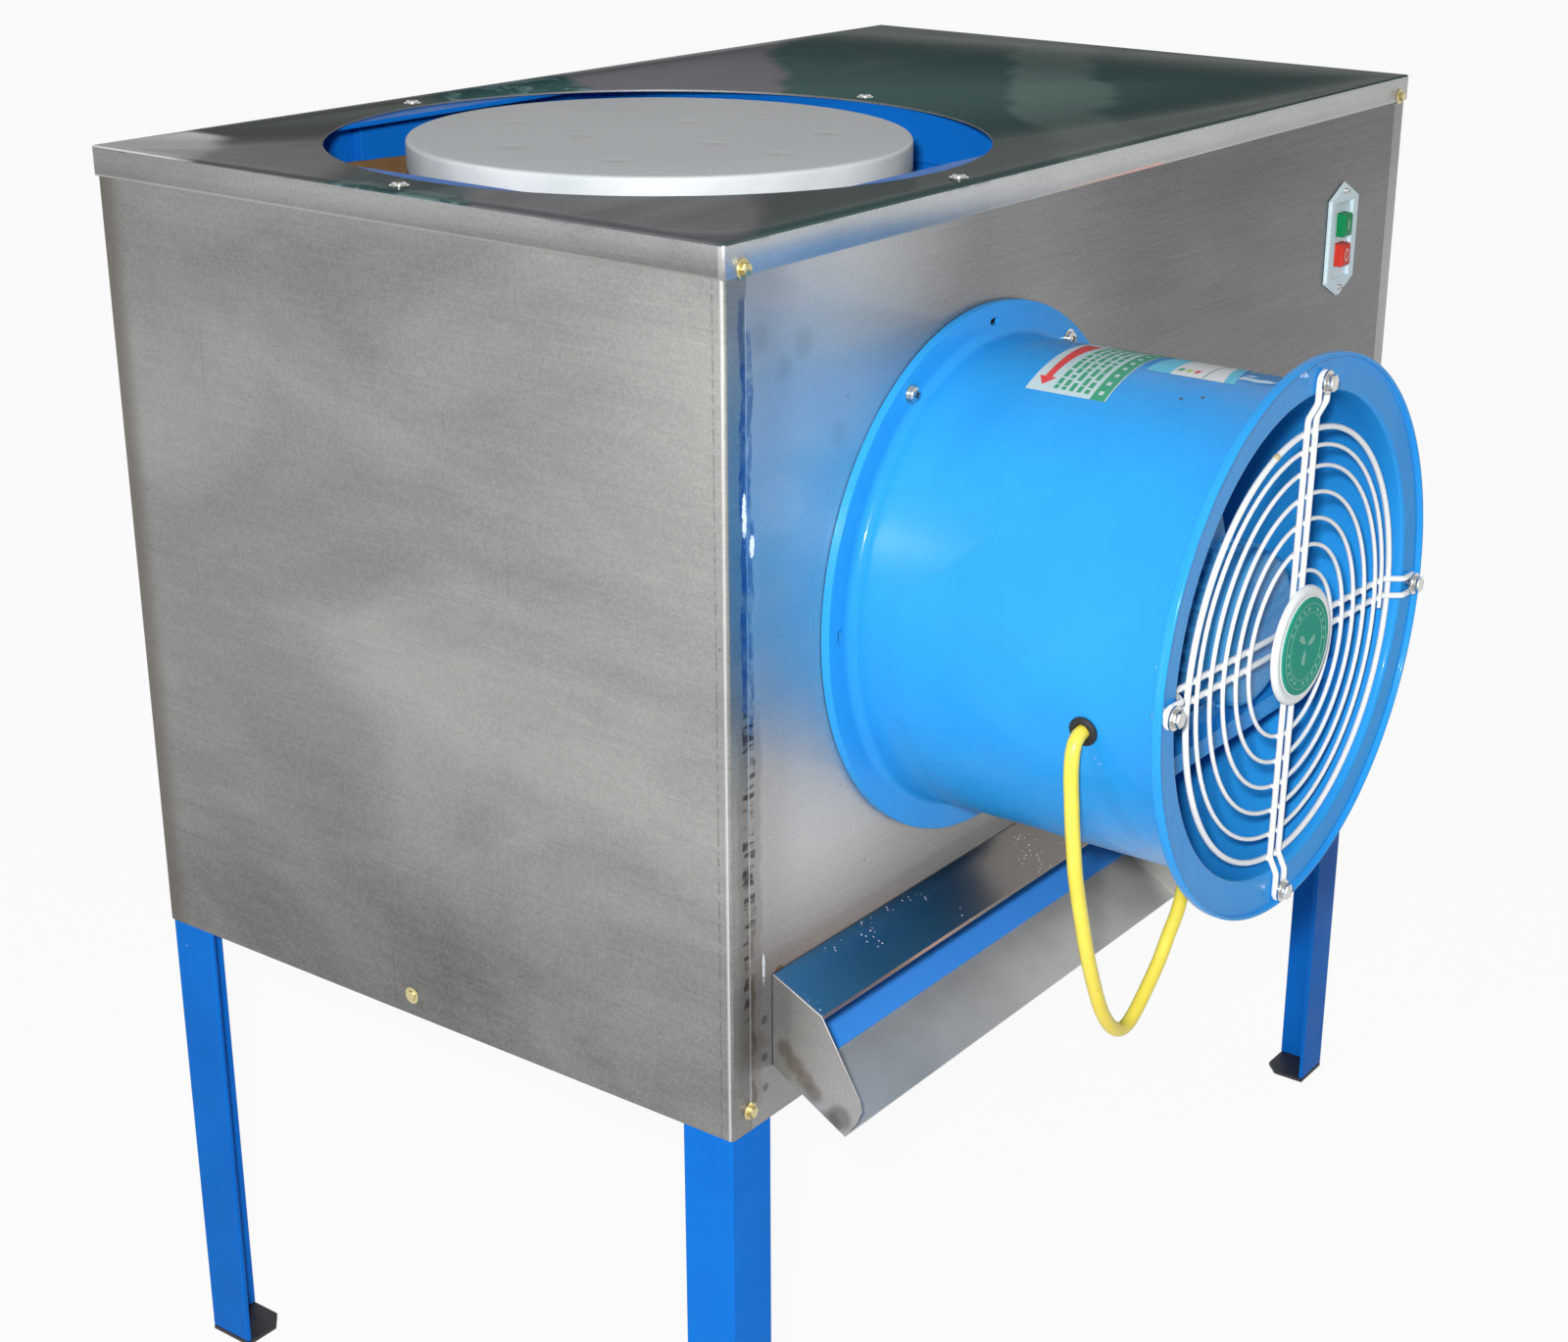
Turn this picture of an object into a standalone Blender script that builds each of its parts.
"""Garlic peeling machine: a steel cabinet on legs, a peeling disc, an axial fan and a chute.

Metres, +Z up. The fan's panel is the front and faces -Y, and the disc is at the -X end.
The origin is on the floor, in the middle of the box that the machine fills.
"""
import math

import bmesh
import bpy
from mathutils import Vector

# Fits shared by all pieces
GAP = 0.0003
OVERRUN = 0.01
MERGE = 0.000001

# Cabinet
LENGTH = 1.020
DEPTH = 0.600
HEIGHT = 1.047
PANEL_BELOW_TRAY = 0.0409
SHEET = 0.0015
SKIRT = 0.0225
CORNER_WRAP = 0.0215
HOLE_RADIUS = 0.2555

# Legs of angle steel and their foot plates
LEG_FLANGE = 0.045
LEG_WALL = 0.004
FOOT_THICKNESS = 0.004
FOOT_CHAMFER = 0.013

# Top and bottom frames, cross rail
TOP_RAIL_WIDTH = 0.058
TOP_RAIL_DROP = 0.043
LOW_RAIL = 0.040
RAIL_WALL = 0.004
LOW_FRAME_INSET = 0.0015
CROSS_RAIL = 0.045

# Chamber under the disc
WALL_PLATE = 0.002
CHAMBER_REACH = 0.258
LINER = 0.006
LINER_BELOW_OUTLET = 0.055
OUTLET_HALF_WIDTH = 0.190
OUTLET_DROP = 0.082
OUTLET_HEIGHT = 0.150
BELT_WINDOW_HALF = 0.090
BELT_WINDOW_HEIGHT = 0.046

# Chute in front and slide behind it: outs are measured from the panel, drops from hood or tray
CHUTE_INSET = 0.0465
CHUTE_WIDTH = 0.4813
CHUTE_BELOW_FAN = 0.0332
CHUTE_MOUTH = 0.0736
HOOD_OUT = 0.0435
HOOD_DROP = 0.0200
CHEEK_OUT = 0.0784
CHEEK_SHOULDER_OUT = 0.0766
CHEEK_SHOULDER_DROP = 0.0023
CHEEK_NOSE_DROP = 0.0111
CHEEK_CHIN_OUT = 0.0742
CHEEK_CHIN_DROP = 0.0213
TRAY_OUT = 0.0642
TRAY_DROP = 0.0361
SLIDE_OUT = 0.0165
SLIDE_WALL = 0.002

# Peeling disc and its drive
DISC_RADIUS = 0.1945
DISC_PROUD = 0.0025
DISC_THICKNESS = 0.024
DISC_ROUND = 0.004
BOARD_THICKNESS = 0.010
SPIDER_RADIUS = 0.070
SPIDER_PLATE = 0.008
SPIDER_BOSS_RADIUS = 0.028
SPIDER_BOSS = 0.020
SPIDER_COVER = 0.004
SHAFT_RADIUS = 0.015
BEAM_WALL = 0.010
BEAM_WIDTH = 0.100
BEAM_END_CLEARANCE = 0.0052
BEARING_RADIUS = 0.045
BEARING_BASE = 0.012
BEARING_DOME_RADIUS = 0.030
BEARING_HEIGHT = 0.030
SPIDER_CLEARANCE = 0.0136
GUARD_RADIUS = 0.030
GUARD_WALL = 0.0025
GUARD_CLEARANCE = 0.008
CHANNEL_WIDTH = 0.080
CHANNEL_HEIGHT = 0.030
CHANNEL_WALL = 0.005

# Belt drive
PULLEY_CLEARANCE = 0.0159
BELT_TOP_HALF = 0.0085
BELT_BOTTOM_HALF = 0.0055
BELT_ABOVE = 0.0035
BELT_BELOW = 0.0075
DRIVEN_PITCH_RADIUS = 0.105
DRIVE_PITCH_RADIUS = 0.042
PULLEY_HALF_WIDTH = 0.0125
PULLEY_RIM = 0.007
GROOVE_DEPTH = 0.011
PULLEY_WEB = 0.008
PULLEY_BOSS_RADIUS = 0.028
DRIVE_BOSS_RADIUS = 0.020
PULLEY_BOSS_HALF = 0.016

# Drive motor on its bridge
MOTOR_INSET = 0.2082
BRIDGE_RISE = 0.064
BRIDGE_WALL = 0.006
BRIDGE_HALF_LENGTH = 0.110
BRIDGE_HOLE = 0.030
MOTOR_RADIUS = 0.072
MOTOR_BODY = 0.170
MOTOR_FLANGE_RADIUS = 0.100
MOTOR_FLANGE = 0.012
MOTOR_COWL = 0.045
MOTOR_BORE = 0.050
DRIVE_SHAFT_RADIUS = 0.012
DRIVE_SHAFT_BELOW = 0.085
TERMINAL_LENGTH = 0.080
TERMINAL_WIDTH = 0.056
TERMINAL_HEIGHT = 0.034
FIN_HEIGHT = 0.007

# Axial fan: outs are measured from the front panel's face
FAN_ASIDE = 0.005
FAN_DROP = 0.0893
FAN_LENGTH = 0.2635
FAN_BORE = 0.1735
FAN_WALL = 0.003
FAN_FLANGE_RADIUS = 0.2010
FAN_LIP = 0.004
FAN_BACK_LIP = 0.007
FAN_MOUTH_ROUND = 0.0035
FAN_FOOT_ROUND = 0.008
SLOT_RADIUS = 0.1880
SLOT_LENGTH = 0.011
SLOT_WIDTH = 0.005
FAN_MOTOR_RADIUS = 0.060
FAN_MOTOR_LENGTH = 0.111
FAN_MOTOR_INSET = 0.0475
FAN_MOTOR_COVER = 0.018
FAN_MOTOR_FOOT = 0.068
FAN_MOTOR_FOOT_HALF = 0.055
FAN_BRACKET_LENGTH = 0.102
FAN_BRACKET_INSET = 0.0415
FAN_BRACKET_WALL = 0.004
FAN_BRACKET_LIP = 0.014
FAN_SHAFT_RADIUS = 0.007
FAN_SHAFT_IN = 0.020
IMPELLER_DEPTH = 0.052
IMPELLER_CLEARANCE = 0.019
IMPELLER_HUB = 0.046
IMPELLER_TIP = 0.167
BLADE_WALL = 0.003
BLADE_ROOT_CHORD = 0.060
BLADE_TIP_CHORD = 0.084
BLADE_CAMBER = 0.007

# Wire grille
SPOKE_WIRE = 0.0045
SPIRAL_WIRE = 0.0032
SPOKE_SPACING = 0.013
BOLT_CIRCLE = 0.186
GRILLE_DEPTH = 0.0035
GRILLE_WELD = 0.0004
GRILLE_BEND_IN = 0.1605
GRILLE_BEND_OUT = 0.1720
GRILLE_DROP = 0.003
GRILLE_RING = 0.156
SPIRAL_START = 0.0537
SPIRAL_END = 0.1435
SPIRAL_ASIDE = 0.0095
SPIRAL_DROP = 0.0065
SPIRAL_PITCH = 0.0186
CAP_RADIUS = 0.043
CAP_THICKNESS = 0.0045
CAP_ROUND = 0.004
CAP_ASIDE = 0.004
CAP_DROP = 0.002
BADGE_RADIUS = 0.035
BADGE_THICKNESS = 0.0012
BOLT_SHANK = 0.003
BOLT_WASHER_RADIUS = 0.0085
BOLT_WASHER = 0.0015
BOLT_HEAD_RADIUS = 0.0062
BOLT_HEAD = 0.0045
BOLT_HOLE = 0.0036
NUT_HEIGHT = 0.005

# Fan cord and its two grommets
CORD_DIAMETER = 0.0105
GROMMET_INSET = 0.067
GROMMET_ANGLE = math.radians(189)
GROMMET_LIP = 0.0105
GROMMET_LIP_WALL = 0.003
GROMMET_NECK = 0.0084
GROMMET_CLEARANCE = 0.0008
ENTRY_ACROSS = 0.2950
ENTRY_DROP = 0.1567

# Switch on the front panel
SWITCH_INSET = 0.1205
SWITCH_DROP = 0.1345
SWITCH_HALF_WIDTH = 0.0285
SWITCH_SHOULDER = 0.0375
SWITCH_APEX = 0.0520
SWITCH_BASE = 0.0015
SWITCH_STEP = 0.0010
SWITCH_DEPTH = 0.0038
WINDOW_HALF_WIDTH = 0.0172
WINDOW_HALF_HEIGHT = 0.0345
WINDOW_DEPTH = 0.0030
BUTTON_WIDTH = 0.0170
BUTTON_HEIGHT = 0.0205
BUTTON_PITCH = 0.0272
BUTTON_CLEARANCE = 0.0005
BUTTON_FACE = 0.0088
BUTTON_TAIL = 0.008
BUTTON_EDGE = 0.0015
SWITCH_BODY_DEPTH = 0.040
SWITCH_BODY_HALF_WIDTH = 0.025
SWITCH_BODY_HALF_HEIGHT = 0.042
SWITCH_POCKET = 0.013

# Places worked out from the sizes above
PANEL_X = LENGTH / 2 - SHEET - GAP
PANEL_Y = DEPTH / 2 - SHEET - GAP
INNER_X = PANEL_X - SHEET
INNER_Y = PANEL_Y - SHEET
LEG_X = INNER_X - GAP
LEG_Y = INNER_Y - GAP
FRAME_X = LEG_X - LEG_WALL - GAP
FRAME_Y = LEG_Y - LEG_WALL - GAP
FRAME_TOP = HEIGHT - SHEET - GAP
DISC_X = DEPTH / 2 - LENGTH / 2
FAN_X = DISC_X + FAN_ASIDE
FAN_HEIGHT = HEIGHT - FAN_DROP - FAN_FLANGE_RADIUS
ENTRY_X = FAN_X + ENTRY_ACROSS
ENTRY_HEIGHT = FAN_HEIGHT - ENTRY_DROP
SWITCH_X = PANEL_X - SWITCH_INSET
SWITCH_HEIGHT = HEIGHT - SWITCH_DROP
PARTITION_X = DISC_X + CHAMBER_REACH
MOTOR_X = PANEL_X - MOTOR_INSET
CHUTE_LEFT = CHUTE_INSET - PANEL_X
CHUTE_RIGHT = CHUTE_LEFT + CHUTE_WIDTH
HOOD_HEIGHT = FAN_HEIGHT - FAN_FLANGE_RADIUS - CHUTE_BELOW_FAN
TRAY_HEIGHT = HOOD_HEIGHT - CHUTE_MOUTH
PANEL_BOTTOM = TRAY_HEIGHT - PANEL_BELOW_TRAY
FRAME_BOTTOM = PANEL_BOTTOM + LOW_FRAME_INSET
RAIL_SEAT = FRAME_BOTTOM + RAIL_WALL + GAP
SPAN_Y = FRAME_Y - RAIL_WALL - GAP
FAN_SEAT = GAP + FAN_BACK_LIP
FAN_MOTOR_FRONT = FAN_LENGTH - FAN_MOTOR_INSET
FAN_MOTOR_BACK = FAN_MOTOR_FRONT - FAN_MOTOR_LENGTH
FAN_BRACKET_FRONT = FAN_LENGTH - FAN_BRACKET_INSET
FAN_BRACKET_BACK = FAN_BRACKET_FRONT - FAN_BRACKET_LENGTH
IMPELLER_FRONT = FAN_MOTOR_BACK - IMPELLER_CLEARANCE
IMPELLER_BACK = IMPELLER_FRONT - IMPELLER_DEPTH
GROMMET_OUT = FAN_LENGTH - GROMMET_INSET
EYE_OUT = FAN_LENGTH + GAP + SPOKE_WIRE / 2
FRONT_WIRE_OUT = FAN_LENGTH - GRILLE_DEPTH
SPIRAL_OUT = FRONT_WIRE_OUT - (SPOKE_WIRE + SPIRAL_WIRE) / 2 + GRILLE_WELD
BACK_WIRE_OUT = SPIRAL_OUT - (SPOKE_WIRE + SPIRAL_WIRE) / 2 + GRILLE_WELD
WASHER_OUT = EYE_OUT + SPOKE_WIRE / 2 + GAP
BOLT_OUT = WASHER_OUT + BOLT_WASHER + BOLT_HEAD
BODY_Y = (PANEL_Y + BOLT_OUT - DEPTH / 2) / 2
TRAY_FALL = TRAY_DROP / TRAY_OUT
HOOD_FALL = HOOD_DROP / HOOD_OUT
OUTLET_TOP = HEIGHT - OUTLET_DROP
OUTLET_BOTTOM = OUTLET_TOP - OUTLET_HEIGHT
DISC_BOTTOM = HEIGHT + DISC_PROUD - DISC_THICKNESS
BOARD_BOTTOM = DISC_BOTTOM - GAP - BOARD_THICKNESS
SPIDER_TOP = BOARD_BOTTOM - GAP
SPIDER_BOTTOM = SPIDER_TOP - SPIDER_PLATE - SPIDER_BOSS
BEAM_TOP = SPIDER_BOTTOM - SPIDER_CLEARANCE - BEARING_HEIGHT - GAP
BEAM_BOTTOM = BEAM_TOP - BEAM_WALL
BEAM_END_HEIGHT = FRAME_TOP - RAIL_WALL - BEAM_END_CLEARANCE
CHANNEL_TOP = RAIL_SEAT + CHANNEL_HEIGHT
BELT_HEIGHT = CHANNEL_TOP + GAP + BEARING_HEIGHT + PULLEY_CLEARANCE + PULLEY_BOSS_HALF
BRIDGE_TOP = BELT_HEIGHT + BRIDGE_RISE
GUARD_BOTTOM = BELT_HEIGHT + PULLEY_BOSS_HALF + GUARD_CLEARANCE

# Shares and counts
FAN_STEPS = 56
ROUND_STEPS = 40
SMALL_STEPS = 20
CORD_STEP = 1.4
ARC_STEPS = 4
SPIRAL_STEPS = 30
SPIRAL_TURNS = 5.277
SPIRAL_START_ANGLE = math.radians(97)
GRILLE_TURN = math.radians(-1.7)
BLADES = 6
FINS = 24
BLADE_ROOT_PITCH = math.radians(48)
BLADE_TIP_PITCH = math.radians(26)
BLADE_STATIONS = 5
CHORD_STATIONS = 4
SHARP = math.radians(32)

# Colour, roughness and metallic value of each finish
STEEL = ((0.52, 0.53, 0.53), 0.34, 1.0)
FRAME_BLUE = ((0.012, 0.160, 0.560), 0.35, 0.0)
FAN_BLUE = ((0.020, 0.300, 0.800), 0.22, 0.0)
WHITE_PLASTIC = ((0.78, 0.80, 0.80), 0.40, 0.0)
BROWN_BOARD = ((0.230, 0.110, 0.045), 0.65, 0.0)
BLACK_RUBBER = ((0.015, 0.015, 0.016), 0.70, 0.0)
BLACK_PAINT = ((0.020, 0.020, 0.022), 0.55, 0.0)
MACHINED = ((0.60, 0.60, 0.60), 0.28, 1.0)
CAST_IRON = ((0.12, 0.13, 0.14), 0.60, 0.6)
WIRE_WHITE = ((0.86, 0.88, 0.88), 0.30, 0.0)
BADGE_GREEN = ((0.030, 0.330, 0.190), 0.35, 0.0)
CORD_YELLOW = ((0.880, 0.760, 0.060), 0.42, 0.0)
BUTTON_GREEN = ((0.010, 0.330, 0.110), 0.35, 0.0)
BUTTON_RED = ((0.720, 0.030, 0.015), 0.35, 0.0)
ZINC = ((0.72, 0.72, 0.70), 0.25, 1.0)


def clear_scene():
    """Removes every object that the file opened with."""
    for old in list(bpy.data.objects):
        bpy.data.objects.remove(old, do_unlink=True)


def empty(name, parent=None, at=(0, 0, 0), turn=(0, 0, 0)):
    """An empty that carries pieces."""
    holder = bpy.data.objects.new(name, None)
    bpy.context.scene.collection.objects.link(holder)
    holder.parent = parent
    holder.location = at
    holder.rotation_euler = turn
    return holder


def piece(name, bm, look, parent=None, at=(0, 0, 0), turn=(0, 0, 0)):
    """Makes a bmesh a named object with a material of its own."""
    bmesh.ops.recalc_face_normals(bm, faces=bm.faces)
    mesh = bpy.data.meshes.new(name)
    bm.to_mesh(mesh)
    bm.free()
    return dress(name, mesh, look, parent, at, turn)


def dress(name, mesh, look, parent=None, at=(0, 0, 0), turn=(0, 0, 0)):
    """Links a mesh as an object, smooth where it is round."""
    mesh.shade_smooth()
    mesh.set_sharp_from_angle(angle=SHARP)
    body = bpy.data.objects.new(name, mesh)
    bpy.context.scene.collection.objects.link(body)
    body.parent = parent
    body.location = at
    body.rotation_euler = turn
    if look is None:
        body.hide_render = True
        body.display_type = "WIRE"
        return body
    colour, roughness, metallic = look
    paint = bpy.data.materials.new(name + "_finish")
    paint.use_nodes = True
    shader = paint.node_tree.nodes["Principled BSDF"]
    shader.inputs["Base Color"].default_value = (*colour, 1.0)
    shader.inputs["Roughness"].default_value = roughness
    shader.inputs["Metallic"].default_value = metallic
    mesh.materials.append(paint)
    return body


def combine(body, tool, operation="DIFFERENCE"):
    """Cuts, joins or intersects a piece with a hidden tool."""
    step = body.modifiers.new(tool.name, "BOOLEAN")
    step.operation = operation
    step.object = tool
    step.solver = "EXACT"


def loft(rings, closed=False):
    """Skins rings of equally many points; the ends are capped unless the loft closes."""
    bm = bmesh.new()
    rows = [[bm.verts.new(point) for point in ring] for ring in rings]
    count = len(rows[0])
    pairs = list(zip(rows, rows[1:]))
    if closed:
        pairs.append((rows[-1], rows[0]))
    for low, high in pairs:
        for i in range(count):
            j = (i + 1) % count
            bm.faces.new((low[i], low[j], high[j], high[i]))
    if not closed:
        bm.faces.new(reversed(rows[0]))
        bm.faces.new(rows[-1])
    return bm


def prism(outline, low, high, axis="Z"):
    """Extrudes a flat outline along an axis, from low to high."""
    place = {
        "Z": lambda u, v, w: (u, v, w),
        "Y": lambda u, v, w: (u, w, v),
        "X": lambda u, v, w: (w, u, v),
    }[axis]
    return loft([[place(u, v, w) for u, v in outline] for w in (low, high)])


def rectangle(left, right, low, high):
    """Corner points of a rectangle."""
    return [(left, low), (right, low), (right, high), (left, high)]


def block(x, y, z):
    """A box between two values on each axis."""
    return prism(rectangle(x[0], x[1], y[0], y[1]), z[0], z[1])


def circle(radius, steps, out=0.0, centre=(0, 0)):
    """Points of a level circle."""
    return [
        (
            centre[0] + radius * math.cos(2 * math.pi * i / steps),
            centre[1] + radius * math.sin(2 * math.pi * i / steps),
            out,
        )
        for i in range(steps)
    ]


def cylinder(radius, low, high, steps=ROUND_STEPS):
    """An upright cylinder."""
    return loft([circle(radius, steps, low), circle(radius, steps, high)])


def turned(profile, steps=ROUND_STEPS, start=0.0):
    """Spins a closed outline of (radius, height) points about Z, from a start angle."""
    bm = bmesh.new()
    first = [bm.verts.new((r * math.cos(start), r * math.sin(start), z)) for r, z in profile]
    edges = [bm.edges.new((a, b)) for a, b in zip(first, first[1:] + first[:1])]
    bmesh.ops.spin(
        bm, geom=first + edges, cent=(0, 0, 0), axis=(0, 0, 1),
        angle=2 * math.pi, steps=steps, use_merge=True,
    )
    bmesh.ops.remove_doubles(bm, verts=bm.verts, dist=MERGE)
    return bm


def arc(centre, radius, start, end, steps=ARC_STEPS):
    """Points on an arc, ends included; angles in degrees."""
    return [
        (
            centre[0] + radius * math.cos(math.radians(start + (end - start) * i / steps)),
            centre[1] + radius * math.sin(math.radians(start + (end - start) * i / steps)),
        )
        for i in range(steps + 1)
    ]


def frame_ring(profile, half_x, half_y):
    """Runs an outline of (inset, height) points round a rectangle, with mitred corners."""
    corners = ((-1, -1), (1, -1), (1, 1), (-1, 1))
    rings = [[(sx * (half_x - d), sy * (half_y - d), z) for d, z in profile] for sx, sy in corners]
    return loft(rings, closed=True)


def wire(name, points, diameter, resolution, closed, parent):
    """A round wire along points, as a hidden mesh tool."""
    curve = bpy.data.curves.new(name, "CURVE")
    curve.dimensions = "3D"
    curve.bevel_depth = diameter / 2
    curve.bevel_resolution = resolution
    curve.use_fill_caps = True
    spline = curve.splines.new("POLY")
    spline.points.add(len(points) - 1)
    for target, point in zip(spline.points, points):
        target.co = (*point, 1)
    spline.use_cyclic_u = closed
    holder = bpy.data.objects.new(name + "_path", curve)
    mesh = bpy.data.meshes.new_from_object(holder)
    bpy.data.objects.remove(holder)
    return dress(name, mesh, None, parent)


def make_legs(cabinet):
    """Four legs of angle steel on five-sided foot plates."""
    names = {(-1, -1): "front_left", (1, -1): "front_right", (1, 1): "rear_right", (-1, 1): "rear_left"}
    for (sx, sy), place in names.items():
        angle = [
            (LEG_X, LEG_Y), (LEG_X - LEG_FLANGE, LEG_Y), (LEG_X - LEG_FLANGE, LEG_Y - LEG_WALL),
            (LEG_X - LEG_WALL, LEG_Y - LEG_WALL), (LEG_X - LEG_WALL, LEG_Y - LEG_FLANGE),
            (LEG_X, LEG_Y - LEG_FLANGE),
        ]
        foot = [
            (LEG_X, LEG_Y), (LEG_X - LEG_FLANGE, LEG_Y),
            (LEG_X - LEG_FLANGE, LEG_Y - LEG_FLANGE + FOOT_CHAMFER),
            (LEG_X - LEG_FLANGE + FOOT_CHAMFER, LEG_Y - LEG_FLANGE), (LEG_X, LEG_Y - LEG_FLANGE),
        ]
        section = [(sx * x, sy * y) for x, y in angle]
        piece("leg_" + place, prism(section, FOOT_THICKNESS + GAP, FRAME_TOP), FRAME_BLUE, cabinet)
        base = [(sx * x, sy * y) for x, y in foot]
        piece("foot_" + place, prism(base, 0, FOOT_THICKNESS), BLACK_PAINT, cabinet)


def make_frames(cabinet):
    """Top and bottom rings of angle steel, and the rail across the top at the partition."""
    top, low = FRAME_TOP, FRAME_BOTTOM
    upper = [
        (0, top), (TOP_RAIL_WIDTH, top), (TOP_RAIL_WIDTH, top - RAIL_WALL),
        (RAIL_WALL, top - RAIL_WALL), (RAIL_WALL, top - TOP_RAIL_DROP), (0, top - TOP_RAIL_DROP),
    ]
    lower = [
        (0, low), (LOW_RAIL, low), (LOW_RAIL, low + RAIL_WALL),
        (RAIL_WALL, low + RAIL_WALL), (RAIL_WALL, low + LOW_RAIL), (0, low + LOW_RAIL),
    ]
    piece("top_frame", frame_ring(upper, FRAME_X, FRAME_Y), FRAME_BLUE, cabinet)
    piece("bottom_frame", frame_ring(lower, FRAME_X, FRAME_Y), FRAME_BLUE, cabinet)
    x = PARTITION_X
    section = [
        (x, top), (x, top - CROSS_RAIL), (x + RAIL_WALL, top - CROSS_RAIL),
        (x + RAIL_WALL, top - RAIL_WALL), (x + CROSS_RAIL, top - RAIL_WALL), (x + CROSS_RAIL, top),
    ]
    half = FRAME_Y - TOP_RAIL_WIDTH - GAP
    piece("cross_rail", prism(section, -half, half, "Y"), FRAME_BLUE, cabinet)


def make_lid(cabinet):
    """A sheet lid with a turned-down skirt and a round hole for the disc."""
    x, y = LENGTH / 2, DEPTH / 2
    lid = piece("lid", block((-x, x), (-y, y), (HEIGHT - SKIRT, HEIGHT)), STEEL, cabinet)
    inside = block(
        (SHEET - x, x - SHEET), (SHEET - y, y - SHEET), (HEIGHT - SKIRT - OVERRUN, HEIGHT - SHEET)
    )
    combine(lid, piece("lid_inside", inside, None, cabinet))
    hole = cylinder(HOLE_RADIUS, HEIGHT - SHEET - OVERRUN, HEIGHT + OVERRUN, FAN_STEPS)
    combine(lid, piece("lid_hole", hole, None, cabinet, (DISC_X, 0, 0)))


def make_end_panel(name, side, cabinet):
    """An end panel that wraps round both corners in a narrow strip."""
    x, y, wrap = PANEL_X, PANEL_Y, PANEL_X - CORNER_WRAP
    outline = [
        (wrap, -y), (x, -y), (x, y), (wrap, y), (wrap, y - SHEET),
        (x - SHEET, y - SHEET), (x - SHEET, SHEET - y), (wrap, SHEET - y),
    ]
    sheet = prism([(side * u, v) for u, v in outline], PANEL_BOTTOM, FRAME_TOP)
    return piece(name, sheet, STEEL, cabinet)


def make_front_panel(cabinet):
    """The front panel, cut for the fan, the chute, the switch and the cord."""
    half = PANEL_X - CORNER_WRAP - GAP
    sheet = block((-half, half), (-PANEL_Y, SHEET - PANEL_Y), (PANEL_BOTTOM, FRAME_TOP))
    panel = piece("front_panel", sheet, STEEL, cabinet)
    through = (-PANEL_Y - OVERRUN, OVERRUN - PANEL_Y)
    face = empty("front_face", cabinet, (0, -PANEL_Y, 0), (math.pi / 2, 0, 0))
    fan_hole = cylinder(FAN_BORE, -OVERRUN, OVERRUN, FAN_STEPS)
    combine(panel, piece("fan_hole", fan_hole, None, face, (FAN_X, FAN_HEIGHT, 0)))
    slot = block((CHUTE_LEFT + SHEET, CHUTE_RIGHT - SHEET), through, (TRAY_HEIGHT, HOOD_HEIGHT - SHEET))
    combine(panel, piece("chute_slot", slot, None, cabinet))
    window = block(
        (SWITCH_X - WINDOW_HALF_WIDTH, SWITCH_X + WINDOW_HALF_WIDTH), through,
        (SWITCH_HEIGHT - WINDOW_HALF_HEIGHT, SWITCH_HEIGHT + WINDOW_HALF_HEIGHT),
    )
    combine(panel, piece("switch_cutout", window, None, cabinet))
    entry = cylinder(GROMMET_NECK + GAP, -OVERRUN, OVERRUN, SMALL_STEPS)
    combine(panel, piece("entry_hole", entry, None, face, (ENTRY_X, ENTRY_HEIGHT, 0)))


def outlet_cutter(name, cabinet):
    """A block the size of the air outlet in the rear wall."""
    x = (DISC_X - OUTLET_HALF_WIDTH, DISC_X + OUTLET_HALF_WIDTH)
    y = (PANEL_Y - LINER - OVERRUN, PANEL_Y + OVERRUN)
    return piece(name, block(x, y, (OUTLET_BOTTOM, OUTLET_TOP)), None, cabinet)


def make_rear(cabinet):
    """Rear panel and brown liner board, both open at the air outlet."""
    half = PANEL_X - CORNER_WRAP - GAP
    sheet = block((-half, half), (INNER_Y, PANEL_Y), (PANEL_BOTTOM, FRAME_TOP))
    combine(piece("rear_panel", sheet, STEEL, cabinet), outlet_cutter("rear_outlet", cabinet))
    x = (GAP - LEG_X + LEG_FLANGE, PARTITION_X + RAIL_WALL)
    z = (OUTLET_BOTTOM - LINER_BELOW_OUTLET, FRAME_TOP - TOP_RAIL_DROP - GAP)
    board = piece("rear_liner", block(x, (INNER_Y - GAP - LINER, INNER_Y - GAP), z), BROWN_BOARD, cabinet)
    combine(board, outlet_cutter("liner_outlet", cabinet))


def make_walls(cabinet):
    """The two side walls of the chamber; the right one has a window for the belt."""
    z = (RAIL_SEAT, FRAME_TOP - RAIL_WALL - GAP)
    y = (-SPAN_Y, SPAN_Y)
    left = GAP - LEG_X + LEG_FLANGE - WALL_PLATE
    piece("chamber_wall", block((left, left + WALL_PLATE), y, z), FRAME_BLUE, cabinet)
    right = PARTITION_X + RAIL_WALL + GAP
    outline = [
        (-SPAN_Y, z[0]), (SPAN_Y, z[0]), (SPAN_Y, z[1]), (FRAME_Y - TOP_RAIL_WIDTH - GAP, z[1]),
        (FRAME_Y - TOP_RAIL_WIDTH - GAP, z[1] - GAP), (TOP_RAIL_WIDTH - FRAME_Y + GAP, z[1] - GAP),
        (TOP_RAIL_WIDTH - FRAME_Y + GAP, z[1]), (-SPAN_Y, z[1]),
    ]
    wall = piece("partition", prism(outline, right, right + WALL_PLATE, "X"), FRAME_BLUE, cabinet)
    window = block(
        (right - OVERRUN, right + OVERRUN), (-BELT_WINDOW_HALF, BELT_WINDOW_HALF),
        (BELT_HEIGHT - BELT_WINDOW_HEIGHT / 2, BELT_HEIGHT + BELT_WINDOW_HEIGHT / 2),
    )
    combine(wall, piece("belt_window", window, None, cabinet))


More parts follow.
